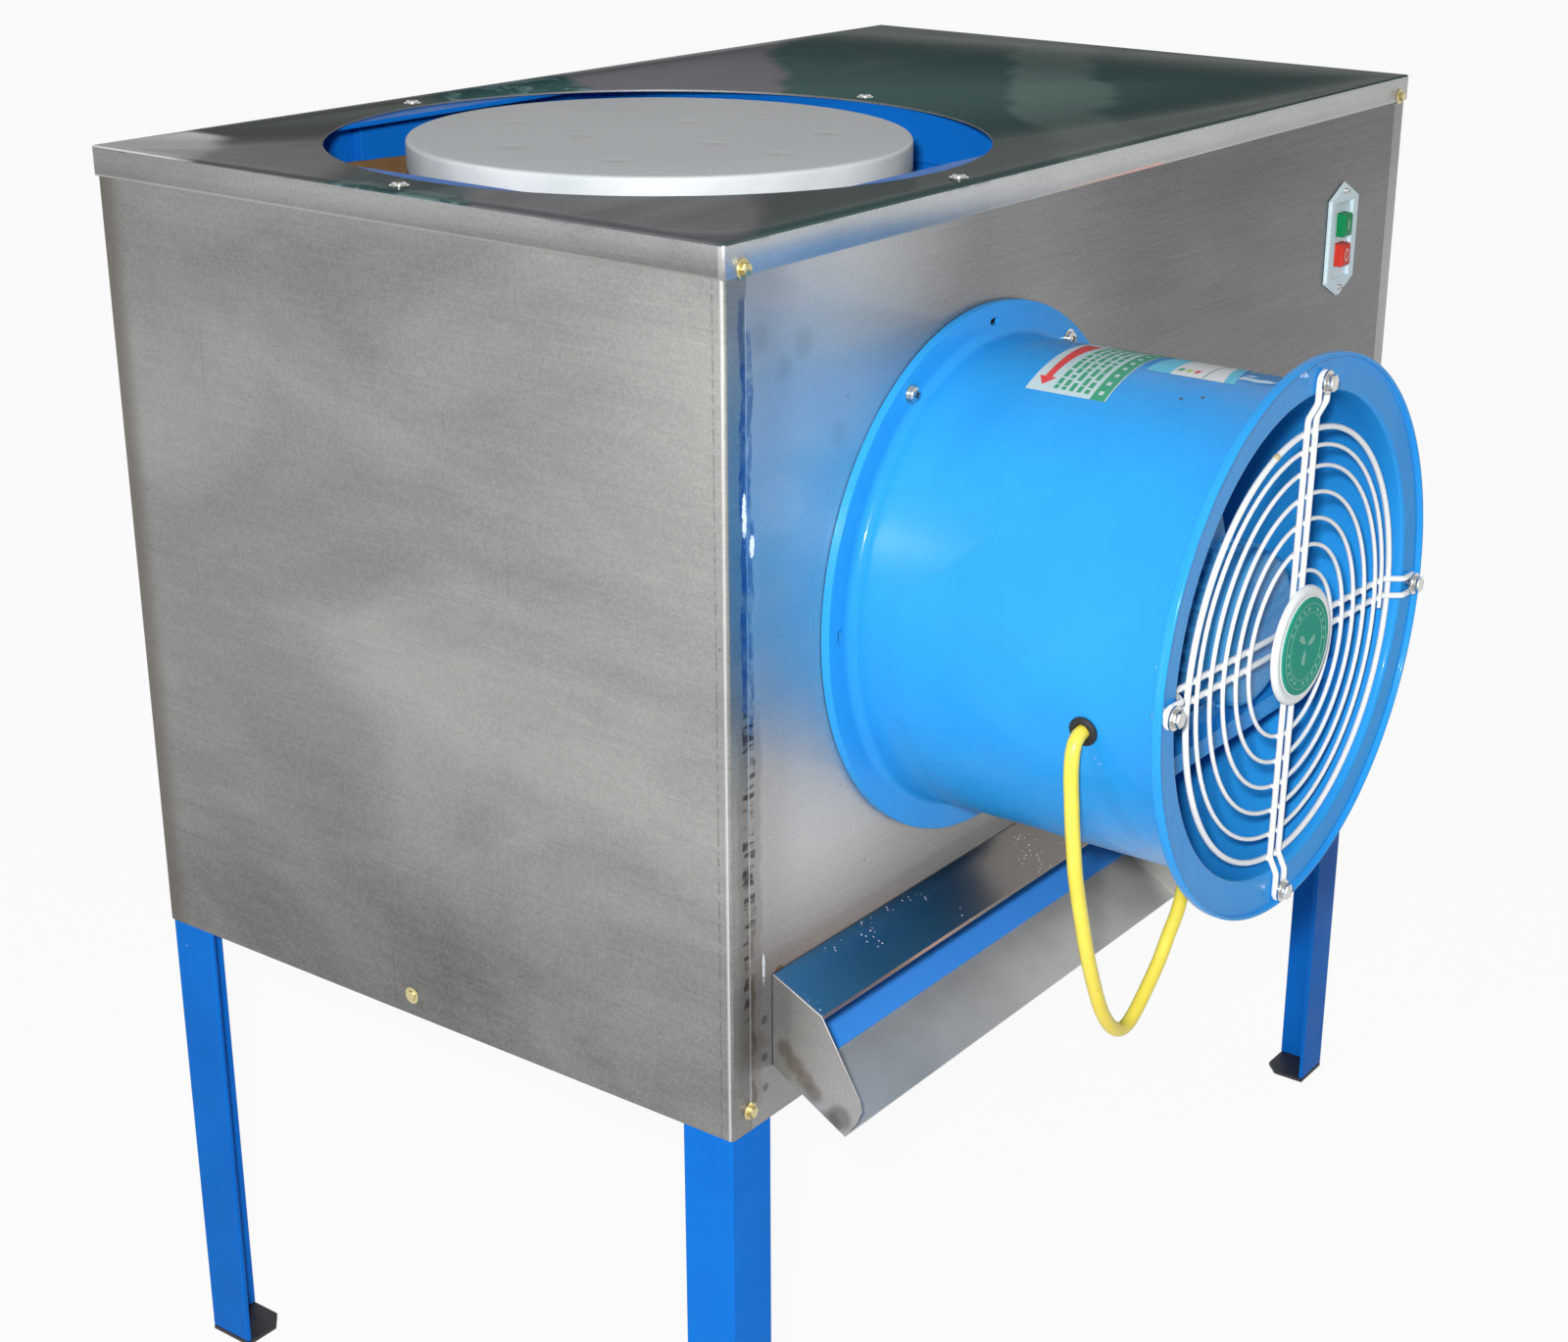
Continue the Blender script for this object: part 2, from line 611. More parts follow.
def make_chute(cabinet):
    """Hood, two cheeks and tray in one welded piece, open in front and behind."""
    side = [
        (GAP, HOOD_HEIGHT), (HOOD_OUT, HOOD_HEIGHT - HOOD_DROP),
        (CHEEK_SHOULDER_OUT, TRAY_HEIGHT - CHEEK_SHOULDER_DROP),
        (CHEEK_OUT, TRAY_HEIGHT - CHEEK_NOSE_DROP), (CHEEK_CHIN_OUT, TRAY_HEIGHT - CHEEK_CHIN_DROP),
        (TRAY_OUT, TRAY_HEIGHT - TRAY_DROP), (GAP, TRAY_HEIGHT),
    ]
    outline = [(-PANEL_Y - out, z) for out, z in side]
    chute = piece("discharge_chute", prism(outline, CHUTE_LEFT, CHUTE_RIGHT, "X"), STEEL, cabinet)
    hood_wall = SHEET * math.hypot(1, HOOD_FALL)
    tray_wall = SHEET * math.hypot(1, TRAY_FALL)
    reach = CHEEK_OUT + OVERRUN
    inside = [
        (-OVERRUN, HOOD_HEIGHT + HOOD_FALL * OVERRUN - hood_wall),
        (reach, HOOD_HEIGHT - HOOD_FALL * reach - hood_wall),
        (reach, TRAY_HEIGHT - TRAY_FALL * reach + tray_wall),
        (-OVERRUN, TRAY_HEIGHT + TRAY_FALL * OVERRUN + tray_wall),
    ]
    hollow = [(-PANEL_Y - out, z) for out, z in inside]
    tool = prism(hollow, CHUTE_LEFT + SHEET, CHUTE_RIGHT - SHEET, "X")
    combine(chute, piece("chute_hollow", tool, None, cabinet))


def make_slide(cabinet):
    """The sloping plate that leads the cloves out, with a hole round the shaft's guard."""
    slope = math.atan(TRAY_FALL)
    lift = (SHEET + GAP) * math.hypot(1, TRAY_FALL)
    start = (0, -PANEL_Y - SLIDE_OUT, TRAY_HEIGHT - TRAY_FALL * SLIDE_OUT + lift)
    neck = (SLIDE_OUT + SHEET + SLIDE_WALL) / math.cos(slope)
    depth = SLIDE_OUT + PANEL_Y + INNER_Y - LINER - 2 * GAP
    reach = depth / math.cos(slope)
    left = CHUTE_LEFT + SHEET + GAP
    outline = [
        (left, 0), (CHUTE_RIGHT - SHEET - GAP, 0), (CHUTE_RIGHT - SHEET - GAP, neck),
        (PARTITION_X + RAIL_WALL, neck), (PARTITION_X + RAIL_WALL, reach), (left, reach),
    ]
    slide = piece("slide", prism(outline, 0, SLIDE_WALL), FRAME_BLUE, cabinet, start, (slope, 0, 0))
    hole = cylinder(GUARD_RADIUS + GAP, PANEL_BOTTOM, BEAM_BOTTOM, SMALL_STEPS)
    combine(slide, piece("slide_hole", hole, None, cabinet, (DISC_X, 0, 0)))


def make_supports(cabinet):
    """The strap under the disc, the channel under the shaft, and the shaft's guard tube."""
    x = (DISC_X - BEAM_WIDTH / 2, DISC_X + BEAM_WIDTH / 2)
    inner = SPAN_Y - BEAM_WALL
    strap = [
        (-SPAN_Y, BEAM_BOTTOM), (SPAN_Y, BEAM_BOTTOM), (SPAN_Y, BEAM_END_HEIGHT), (inner, BEAM_END_HEIGHT),
        (inner, BEAM_TOP), (-inner, BEAM_TOP), (-inner, BEAM_END_HEIGHT), (-SPAN_Y, BEAM_END_HEIGHT),
    ]
    beam = piece("upper_beam", prism(strap, x[0], x[1], "X"), FRAME_BLUE, cabinet)
    hole = cylinder(GUARD_RADIUS - GUARD_WALL, BEAM_BOTTOM - OVERRUN, BEAM_TOP + OVERRUN, SMALL_STEPS)
    combine(beam, piece("beam_hole", hole, None, cabinet, (DISC_X, 0, 0)))
    half, wall = CHANNEL_WIDTH / 2, CHANNEL_WALL
    channel = [
        (-half, RAIL_SEAT), (wall - half, RAIL_SEAT), (wall - half, CHANNEL_TOP - wall),
        (half - wall, CHANNEL_TOP - wall), (half - wall, RAIL_SEAT), (half, RAIL_SEAT),
        (half, CHANNEL_TOP), (-half, CHANNEL_TOP),
    ]
    section = [(DISC_X + u, v) for u, v in channel]
    piece("lower_beam", prism(section, -SPAN_Y, SPAN_Y, "Y"), FRAME_BLUE, cabinet)
    bore = GUARD_RADIUS - GUARD_WALL
    tube = turned(rectangle(bore, GUARD_RADIUS, GUARD_BOTTOM, BEAM_BOTTOM - GAP), SMALL_STEPS)
    piece("shaft_guard", tube, FRAME_BLUE, cabinet, (DISC_X, 0, 0))


def bearing_profile(seat, floor):
    """A flanged bearing housing's outline; a floor closes its bore from below."""
    bore = SHAFT_RADIUS + GAP
    outline = [
        (BEARING_RADIUS, seat), (BEARING_RADIUS, seat + BEARING_BASE),
        (BEARING_DOME_RADIUS, seat + BEARING_BASE), (BEARING_DOME_RADIUS, seat + BEARING_HEIGHT),
        (bore, seat + BEARING_HEIGHT),
    ]
    if floor:
        return outline + [(bore, seat + floor), (0, seat + floor), (0, seat)]
    return outline + [(bore, seat)]


def pulley_profile(pitch, bore, boss, half_boss):
    """Outline of a V pulley with a rim, a web and a boss, about its own middle."""
    slope = (BELT_TOP_HALF - BELT_BOTTOM_HALF) / (BELT_ABOVE + BELT_BELOW)
    clear = GAP * math.hypot(1, slope)
    rim = pitch + BELT_ABOVE
    wide = BELT_TOP_HALF + clear
    floor = pitch - GROOVE_DEPTH
    narrow = wide - slope * (rim - floor)
    web = max(floor - PULLEY_RIM, boss + PULLEY_RIM)
    upper = [
        (bore, half_boss), (boss, half_boss), (boss, PULLEY_WEB / 2), (web, PULLEY_WEB / 2),
        (web, PULLEY_HALF_WIDTH), (rim, PULLEY_HALF_WIDTH), (rim, wide), (floor, narrow),
    ]
    return upper + [(r, -z) for r, z in reversed(upper)]


def make_disc(axis):
    """The white disc, its board, the steel spider, the shaft and the driven pulley."""
    top = HEIGHT + DISC_PROUD
    corner = arc((DISC_RADIUS - DISC_ROUND, top - DISC_ROUND), DISC_ROUND, 0, 90)
    disc = turned([(0, DISC_BOTTOM), (DISC_RADIUS, DISC_BOTTOM), *corner, (0, top)], FAN_STEPS)
    piece("peeling_disc", disc, WHITE_PLASTIC, axis)
    board = turned(rectangle(0, DISC_RADIUS, BOARD_BOTTOM, DISC_BOTTOM - GAP), FAN_STEPS)
    piece("disc_board", board, BROWN_BOARD, axis)
    bore, ceiling = SHAFT_RADIUS + GAP, SPIDER_TOP - SPIDER_COVER
    step = SPIDER_TOP - SPIDER_PLATE
    spider = [
        (bore, SPIDER_BOTTOM), (SPIDER_BOSS_RADIUS, SPIDER_BOTTOM), (SPIDER_BOSS_RADIUS, step),
        (SPIDER_RADIUS, step), (SPIDER_RADIUS, SPIDER_TOP), (0, SPIDER_TOP),
        (0, ceiling), (bore, ceiling),
    ]
    piece("disc_spider", turned(spider), MACHINED, axis)
    foot = CHANNEL_TOP + GAP + BEARING_BASE / 2 + GAP
    piece("main_shaft", cylinder(SHAFT_RADIUS, foot, ceiling - GAP, SMALL_STEPS), MACHINED, axis)
    profile = pulley_profile(DRIVEN_PITCH_RADIUS, bore, PULLEY_BOSS_RADIUS, PULLEY_BOSS_HALF)
    piece("driven_pulley", turned(profile), CAST_IRON, axis, (0, 0, BELT_HEIGHT))


def make_bearings(cabinet):
    """The shaft's two bearing housings."""
    place = (DISC_X, 0, 0)
    upper = turned(bearing_profile(BEAM_TOP + GAP, 0))
    piece("upper_bearing", upper, CAST_IRON, cabinet, place)
    lower = turned(bearing_profile(CHANNEL_TOP + GAP, BEARING_BASE / 2))
    piece("lower_bearing", lower, CAST_IRON, cabinet, place)


def make_belt(cabinet):
    """The V-belt round both pulleys."""
    span = MOTOR_X - DISC_X
    wrap = math.acos((DRIVEN_PITCH_RADIUS - DRIVE_PITCH_RADIUS) / span)
    stations = []
    for x, radius, start, end, steps in (
        (DISC_X, DRIVEN_PITCH_RADIUS, wrap, 2 * math.pi - wrap, ROUND_STEPS // 2),
        (MOTOR_X, DRIVE_PITCH_RADIUS, -wrap, wrap, SMALL_STEPS // 2),
    ):
        stations += [(x, radius, start + (end - start) * i / steps) for i in range(steps + 1)]
    section = [
        (-BELT_BELOW, -BELT_BOTTOM_HALF), (BELT_ABOVE, -BELT_TOP_HALF),
        (BELT_ABOVE, BELT_TOP_HALF), (-BELT_BELOW, BELT_BOTTOM_HALF),
    ]
    rings = [
        [(x + (r + d) * math.cos(a), (r + d) * math.sin(a), BELT_HEIGHT + h) for d, h in section]
        for x, r, a in stations
    ]
    piece("v_belt", loft(rings, closed=True), BLACK_RUBBER, cabinet)


def finned(radius, fin, low, high):
    """A motor's body with cooling fins along its axis."""
    outline = []
    for i in range(FINS):
        for share, r in ((0.0, radius), (0.30, radius), (0.45, radius - fin), (0.85, radius - fin)):
            a = 2 * math.pi * (i + share) / FINS
            outline.append((r * math.cos(a), r * math.sin(a)))
    return prism(outline, low, high)


def make_drive(cabinet, axis):
    """The bridge, the drive motor on it, and the motor's shaft and pulley."""
    inner, deck = SPAN_Y - BRIDGE_WALL, BRIDGE_TOP - BRIDGE_WALL
    bridge = [
        (-SPAN_Y, RAIL_SEAT), (-inner, RAIL_SEAT), (-inner, deck), (inner, deck),
        (inner, RAIL_SEAT), (SPAN_Y, RAIL_SEAT), (SPAN_Y, BRIDGE_TOP), (-SPAN_Y, BRIDGE_TOP),
    ]
    x = (MOTOR_X - BRIDGE_HALF_LENGTH, MOTOR_X + BRIDGE_HALF_LENGTH)
    mount = piece("motor_bridge", prism(bridge, x[0], x[1], "X"), FRAME_BLUE, cabinet)
    hole = cylinder(BRIDGE_HOLE, deck - OVERRUN, BRIDGE_TOP + OVERRUN, SMALL_STEPS)
    combine(mount, piece("bridge_hole", hole, None, cabinet, (MOTOR_X, 0, 0)))
    seat = BRIDGE_TOP + GAP
    low = seat + MOTOR_FLANGE
    high = low + MOTOR_BODY
    fins = finned(MOTOR_RADIUS, FIN_HEIGHT, low - MERGE, high)
    body = piece("drive_motor", fins, FRAME_BLUE, cabinet, (MOTOR_X, 0, 0))
    bore = DRIVE_SHAFT_RADIUS + GAP
    ceiling = seat + MOTOR_BORE
    flange = turned(rectangle(bore, MOTOR_FLANGE_RADIUS, seat, low), ROUND_STEPS)
    combine(body, piece("motor_flange", flange, None, cabinet, (MOTOR_X, 0, 0)), "UNION")
    inset = MOTOR_RADIUS - FIN_HEIGHT / 2
    dome = arc((inset - MOTOR_COWL / 2, high + MOTOR_COWL / 2), MOTOR_COWL / 2, 0, 90)
    cowl = turned([(0, high - OVERRUN), (inset, high - OVERRUN), *dome, (0, high + MOTOR_COWL)])
    combine(body, piece("motor_cowl", cowl, None, cabinet, (MOTOR_X, 0, 0)), "UNION")
    middle = (low + high) / 2
    terminal = block(
        (MOTOR_X + inset - OVERRUN, MOTOR_X + MOTOR_RADIUS + TERMINAL_HEIGHT),
        (-TERMINAL_WIDTH / 2, TERMINAL_WIDTH / 2),
        (middle - TERMINAL_LENGTH / 2, middle + TERMINAL_LENGTH / 2),
    )
    combine(body, piece("motor_terminal", terminal, None, cabinet), "UNION")
    socket = cylinder(bore, seat - OVERRUN, ceiling, SMALL_STEPS)
    combine(body, piece("motor_socket", socket, None, cabinet, (MOTOR_X, 0, 0)))
    rod = cylinder(DRIVE_SHAFT_RADIUS, seat - DRIVE_SHAFT_BELOW, ceiling - GAP, SMALL_STEPS)
    piece("drive_shaft", rod, MACHINED, axis)
    profile = pulley_profile(DRIVE_PITCH_RADIUS, bore, DRIVE_BOSS_RADIUS, PULLEY_BOSS_HALF)
    piece("drive_pulley", turned(profile), CAST_IRON, axis, (0, 0, BELT_HEIGHT))


def make_fan_housing(fan, guard):
    """The spun tube: at each end a round mouth, a flange and a turned-out rim."""
    bore, outer, rim = FAN_BORE, FAN_BORE + FAN_WALL, FAN_FLANGE_RADIUS
    mouth, foot = FAN_MOUTH_ROUND, FAN_FOOT_ROUND
    seat, face = FAN_SEAT, FAN_LENGTH
    flare, flute = (bore + mouth, face - mouth), (bore + mouth, seat - FAN_WALL + mouth)
    profile = [
        *arc(flute, mouth, 270, 180), *arc(flare, mouth, 180, 90), (rim - FAN_WALL, face),
        (rim - FAN_WALL, face + FAN_LIP), (rim, face + FAN_LIP), (rim, face - FAN_WALL),
        *arc(flare, mouth - FAN_WALL, 90, 180), *arc((outer + foot, seat + foot), foot, 180, 270),
        (rim, seat), (rim, GAP), (rim - FAN_WALL, GAP), (rim - FAN_WALL, seat - FAN_WALL),
    ]
    tube = piece("fan_housing", turned(profile, FAN_STEPS, math.pi / FAN_STEPS), FAN_BLUE, fan)
    for i in range(4):
        angle = math.pi / 2 * i
        at = (BOLT_CIRCLE * math.cos(angle), BOLT_CIRCLE * math.sin(angle), 0)
        hole = cylinder(BOLT_HOLE, FAN_LENGTH - FAN_WALL - OVERRUN, FAN_LENGTH + OVERRUN, SMALL_STEPS // 2)
        combine(tube, piece("rim_hole_%d" % i, hole, None, guard, at))
        slot = block(
            (SLOT_RADIUS - SLOT_WIDTH / 2, SLOT_RADIUS + SLOT_WIDTH / 2),
            (-SLOT_LENGTH / 2, SLOT_LENGTH / 2), (-OVERRUN, seat + OVERRUN / 2),
        )
        combine(tube, piece("foot_slot_%d" % i, slot, None, fan, (0, 0, 0), (0, 0, angle)))
    side = empty("grommet_axis", fan, (0, 0, GROMMET_OUT), (0, math.pi / 2, GROMMET_ANGLE))
    hole = cylinder(GROMMET_NECK + GAP, FAN_BORE - OVERRUN, outer + OVERRUN, SMALL_STEPS)
    combine(tube, piece("cord_hole", hole, None, side))
    make_grommet("fan_grommet", side, FAN_BORE - GROMMET_CLEARANCE, outer)


def make_grommet(name, holder, inner, outer):
    """A rubber grommet that lines a hole; inner and outer are the wall's two sides."""
    bore = CORD_DIAMETER / 2 + GROMMET_CLEARANCE
    ridge = GROMMET_LIP_WALL / 2
    low, high = inner - GAP, outer + GAP
    profile = [
        (bore, low - GROMMET_LIP_WALL), (GROMMET_LIP - ridge, low - GROMMET_LIP_WALL),
        (GROMMET_LIP, low - ridge), (GROMMET_LIP, low), (GROMMET_NECK, low), (GROMMET_NECK, high),
        (GROMMET_LIP, high), (GROMMET_LIP, high + ridge), (GROMMET_LIP - ridge, high + GROMMET_LIP_WALL),
        (bore, high + GROMMET_LIP_WALL),
    ]
    piece(name, turned(profile, SMALL_STEPS), BLACK_RUBBER, holder)


def make_fan_motor(fan):
    """The finned fan motor and the plate across the tube that carries it."""
    body = finned(FAN_MOTOR_RADIUS, FIN_HEIGHT, FAN_MOTOR_BACK, FAN_MOTOR_FRONT)
    motor = piece("fan_motor", body, FAN_BLUE, fan)
    inset, front = FAN_MOTOR_RADIUS - FIN_HEIGHT / 2, FAN_MOTOR_FRONT + FAN_MOTOR_COVER
    corner = arc((inset - FAN_MOTOR_COVER / 2, front - FAN_MOTOR_COVER / 2), FAN_MOTOR_COVER / 2, 0, 90)
    cover = turned([(0, FAN_MOTOR_FRONT - OVERRUN), (inset, FAN_MOTOR_FRONT - OVERRUN), *corner, (0, front)])
    combine(motor, piece("fan_motor_cover", cover, None, fan), "UNION")
    foot = block(
        (-FAN_MOTOR_FOOT_HALF, FAN_MOTOR_FOOT_HALF), (GAP - FAN_MOTOR_FOOT, FIN_HEIGHT - FAN_MOTOR_RADIUS),
        (FAN_BRACKET_BACK + FIN_HEIGHT, FAN_BRACKET_FRONT - FAN_BRACKET_LIP),
    )
    combine(motor, piece("fan_motor_foot", foot, None, fan), "UNION")
    middle = (FAN_MOTOR_BACK + FAN_MOTOR_FRONT) / 2
    terminal = block(
        (inset - FIN_HEIGHT, inset + TERMINAL_HEIGHT), (-TERMINAL_WIDTH / 2, TERMINAL_WIDTH / 2),
        (middle - TERMINAL_LENGTH / 2, middle + TERMINAL_LENGTH / 2),
    )
    upright = (0, 0, math.radians(112))
    combine(motor, piece("fan_terminal", terminal, None, fan, (0, 0, 0), upright), "UNION")
    ends = (FAN_MOTOR_BACK - OVERRUN, FAN_MOTOR_BACK + FAN_SHAFT_IN)
    socket = cylinder(FAN_SHAFT_RADIUS + GAP, *ends, SMALL_STEPS)
    combine(motor, piece("fan_motor_socket", socket, None, fan))
    level, wall = -FAN_MOTOR_FOOT, FAN_BRACKET_WALL
    section = [
        (level, FAN_BRACKET_BACK), (level, FAN_BRACKET_FRONT), (level - FAN_BRACKET_LIP, FAN_BRACKET_FRONT),
        (level - FAN_BRACKET_LIP, FAN_BRACKET_FRONT - wall), (level - wall, FAN_BRACKET_FRONT - wall),
        (level - wall, FAN_BRACKET_BACK),
    ]
    plate = piece("motor_bracket", prism(section, -FAN_BORE, FAN_BORE, "X"), FAN_BLUE, fan)
    reach = FAN_BORE - GAP / math.cos(math.pi / FAN_STEPS)
    trim = cylinder(reach, FAN_BRACKET_BACK - OVERRUN, FAN_BRACKET_FRONT + OVERRUN, FAN_STEPS)
    turn = (0, 0, math.pi / FAN_STEPS)
    combine(plate, piece("bracket_trim", trim, None, fan, (0, 0, 0), turn), "INTERSECT")


def blade_ring(radius, share):
    """One cross-section of a cambered, pitched blade, wrapped round the hub's axis."""
    pitch = BLADE_ROOT_PITCH + (BLADE_TIP_PITCH - BLADE_ROOT_PITCH) * share
    chord = BLADE_ROOT_CHORD + (BLADE_TIP_CHORD - BLADE_ROOT_CHORD) * share
    middle = (IMPELLER_BACK + IMPELLER_FRONT) / 2
    sides = []
    for face in (-1, 1):
        row = []
        for i in range(CHORD_STATIONS + 1):
            along = i / CHORD_STATIONS - 0.5
            bow = BLADE_CAMBER * (1 - 4 * along * along)
            thick = face * BLADE_WALL / 2
            across = along * chord * math.cos(pitch) - (bow + thick) * math.sin(pitch)
            out = along * chord * math.sin(pitch) + (bow + thick) * math.cos(pitch)
            angle = across / radius
            row.append((radius * math.cos(angle), radius * math.sin(angle), middle + out))
        sides.append(row)
    return sides[0] + sides[1][::-1]


def make_impeller(fan):
    """The bladed impeller and its shaft."""
    bore = FAN_SHAFT_RADIUS + GAP
    hub = [
        (bore, IMPELLER_BACK), (IMPELLER_HUB, IMPELLER_BACK),
        *arc((IMPELLER_HUB - FIN_HEIGHT, IMPELLER_FRONT - FIN_HEIGHT), FIN_HEIGHT, 0, 90),
        (bore, IMPELLER_FRONT),
    ]
    rotor = piece("fan_impeller", turned(hub), FAN_BLUE, fan)
    root = IMPELLER_HUB - BLADE_WALL
    for i in range(BLADES):
        rings = []
        for k in range(BLADE_STATIONS):
            share = k / (BLADE_STATIONS - 1)
            rings.append(blade_ring(root + (IMPELLER_TIP - root) * share, share))
        tool = piece("blade_%d" % i, loft(rings), None, fan, (0, 0, 0), (0, 0, 2 * math.pi * i / BLADES))
        combine(rotor, tool, "UNION")
    ends = (IMPELLER_BACK - BLADE_WALL, FAN_MOTOR_BACK + FAN_SHAFT_IN - GAP)
    rod = cylinder(FAN_SHAFT_RADIUS, *ends, SMALL_STEPS)
    piece("fan_shaft", rod, MACHINED, fan)


def hairpin(depth, across):
    """Points of a long wire loop through two opposite bolts, in one of the two directions."""
    half = SPOKE_SPACING / 2
    bend = [(BOLT_CIRCLE, EYE_OUT), (GRILLE_BEND_OUT, EYE_OUT), (GRILLE_BEND_IN, depth)]
    run = [(-r, out) for r, out in bend] + [(r, out) for r, out in reversed(bend)]
    side = [(half, r, out) for r, out in run]
    tip = [(x, BOLT_CIRCLE + y, EYE_OUT) for x, y in arc((0, 0), half, 0, 180, 6)[1:-1]]
    one_way = side + tip
    loop = one_way + [(-x, -y, out) for x, y, out in one_way]
    return [(y, x, out) if across else (x, y, out) for x, y, out in loop]


def make_grille(axis):
    """The guard: a spiral and a thick ring between two long wire loops, all welded."""
    middle = empty("spiral_axis", axis, (SPIRAL_ASIDE, -SPIRAL_DROP, 0))
    ring = wire("grille_ring", circle(GRILLE_RING, FAN_STEPS, SPIRAL_OUT), SPOKE_WIRE, 2, True, middle)
    steps = round(SPIRAL_TURNS * SPIRAL_STEPS)
    coil = []
    for i in range(steps + 1):
        turn = SPIRAL_TURNS * i / steps
        radius = min(SPIRAL_START + SPIRAL_PITCH * turn, SPIRAL_END)
        angle = SPIRAL_START_ANGLE - 2 * math.pi * turn
        coil.append((radius * math.cos(angle), radius * math.sin(angle), SPIRAL_OUT))
    spiral = wire("grille_spiral", coil, SPIRAL_WIRE, 1, False, middle)
    front = wire("grille_front_loop", hairpin(FRONT_WIRE_OUT, False), SPOKE_WIRE, 2, True, axis)
    back = wire("grille_back_loop", hairpin(BACK_WIRE_OUT, True), SPOKE_WIRE, 2, True, axis)
    guard = dress("fan_grille", ring.data.copy(), WIRE_WHITE, middle)
    for tool in (front, back, spiral):
        combine(guard, tool, "UNION")
    bpy.data.objects.remove(ring)
    low = FRONT_WIRE_OUT + SPOKE_WIRE / 2 + GAP
    high = low + CAP_THICKNESS
    corner = arc((CAP_RADIUS - CAP_ROUND, high - CAP_ROUND), CAP_ROUND, 0, 90)
    at = (CAP_ASIDE, -CAP_DROP, 0)
    piece("grille_cap", turned([(0, low), (CAP_RADIUS, low), *corner, (0, high)]), WIRE_WHITE, axis, at)
    badge = cylinder(BADGE_RADIUS, high + GAP, high + GAP + BADGE_THICKNESS)
    piece("grille_badge", badge, BADGE_GREEN, axis, at)


def hexagon(radius, out):
    """A hexagon as twelve points, so that it skins to a twelve-sided circle."""
    flat = radius * math.cos(math.pi / 6)
    return [
        (r * math.cos(math.pi * i / 6), r * math.sin(math.pi * i / 6), out)
        for i, r in enumerate([radius, flat] * 6)
    ]


def make_bolts(axis):
    """Four bolts with washers and nuts that hold the grille's eyes on the rim."""
    back = FAN_LENGTH - FAN_WALL - GAP
    washer_top = WASHER_OUT + BOLT_WASHER
    edge = BOLT_HEAD_RADIUS - BOLT_WASHER / 2
    rings = [
        hexagon(BOLT_HEAD_RADIUS, back - NUT_HEIGHT), hexagon(BOLT_HEAD_RADIUS, back),
        circle(BOLT_SHANK, 12, back), circle(BOLT_SHANK, 12, WASHER_OUT),
        circle(BOLT_WASHER_RADIUS, 12, WASHER_OUT), circle(BOLT_WASHER_RADIUS, 12, washer_top),
        hexagon(BOLT_HEAD_RADIUS, washer_top), hexagon(BOLT_HEAD_RADIUS, BOLT_OUT - BOLT_WASHER / 2),
        hexagon(edge, BOLT_OUT),
    ]
    for name, turn in (("right", 0), ("top", 1), ("left", 2), ("bottom", 3)):
        angle = math.pi / 2 * turn
        at = (BOLT_CIRCLE * math.cos(angle), BOLT_CIRCLE * math.sin(angle), 0)
        piece("grille_bolt_" + name, loft(rings), ZINC, axis, at)


def cord_route():
    """The cord's points from the fan's centre: out of the tube's side, down in a loop, and into the panel."""
    chosen = [
        (-0.0540, 0.1650, 0.0579), (-0.0720, 0.1655, 0.0503), (-0.0960, 0.1690, 0.0333),
        (-0.1220, 0.1800, 0.0043), (-0.1380, 0.1915, -0.0157), (-0.1540, 0.1965, -0.0234),
        (-0.1650, 0.1965, -0.0256), (-0.1740, 0.1965, -0.0276), (-0.1805, 0.1965, -0.0286),
        (-0.1858, 0.1965, -0.0330), (-0.1883, 0.1965, -0.0420), (-0.1886, 0.1965, -0.0560),
        (-0.1865, 0.1965, -0.0740), (-0.1841, 0.1965, -0.0934), (-0.1812, 0.1965, -0.1103),
        (-0.1778, 0.1965, -0.1297), (-0.1723, 0.1965, -0.1501), (-0.1645, 0.1965, -0.1755),
        (-0.1555, 0.1963, -0.2018), (-0.1458, 0.1960, -0.2250), (-0.1362, 0.1957, -0.2457),
        (-0.1266, 0.1955, -0.2616), (-0.1146, 0.1952, -0.2755), (-0.1019, 0.1949, -0.2837),
        (-0.0900, 0.1946, -0.2847), (-0.0776, 0.1943, -0.2791), (-0.0616, 0.1938, -0.2677),
        (-0.0439, 0.1932, -0.2533), (-0.0296, 0.1925, -0.2374), (-0.0168, 0.1918, -0.2247),
        (-0.0020, 0.1880, -0.2110), (0.0260, 0.1760, -0.1957), (0.0700, 0.1520, -0.1852),
        (0.1200, 0.1200, -0.1797), (0.1700, 0.0900, -0.1747), (0.2200, 0.0640, -0.1677),
        (0.2610, 0.0450, -0.1617), (0.2870, 0.0270, -0.1575), (0.2950, 0.0120, -0.1567),
        (0.2950, 0.0040, -0.1567), (0.2950, -0.0060, -0.1567), (0.2950, -0.0260, -0.1567),
    ]
    grow = GROMMET_OUT / max(out for x, out, z in chosen)
    return [Vector((FAN_X + x, -PANEL_Y - grow * out, FAN_HEIGHT + z)) for x, out, z in chosen]


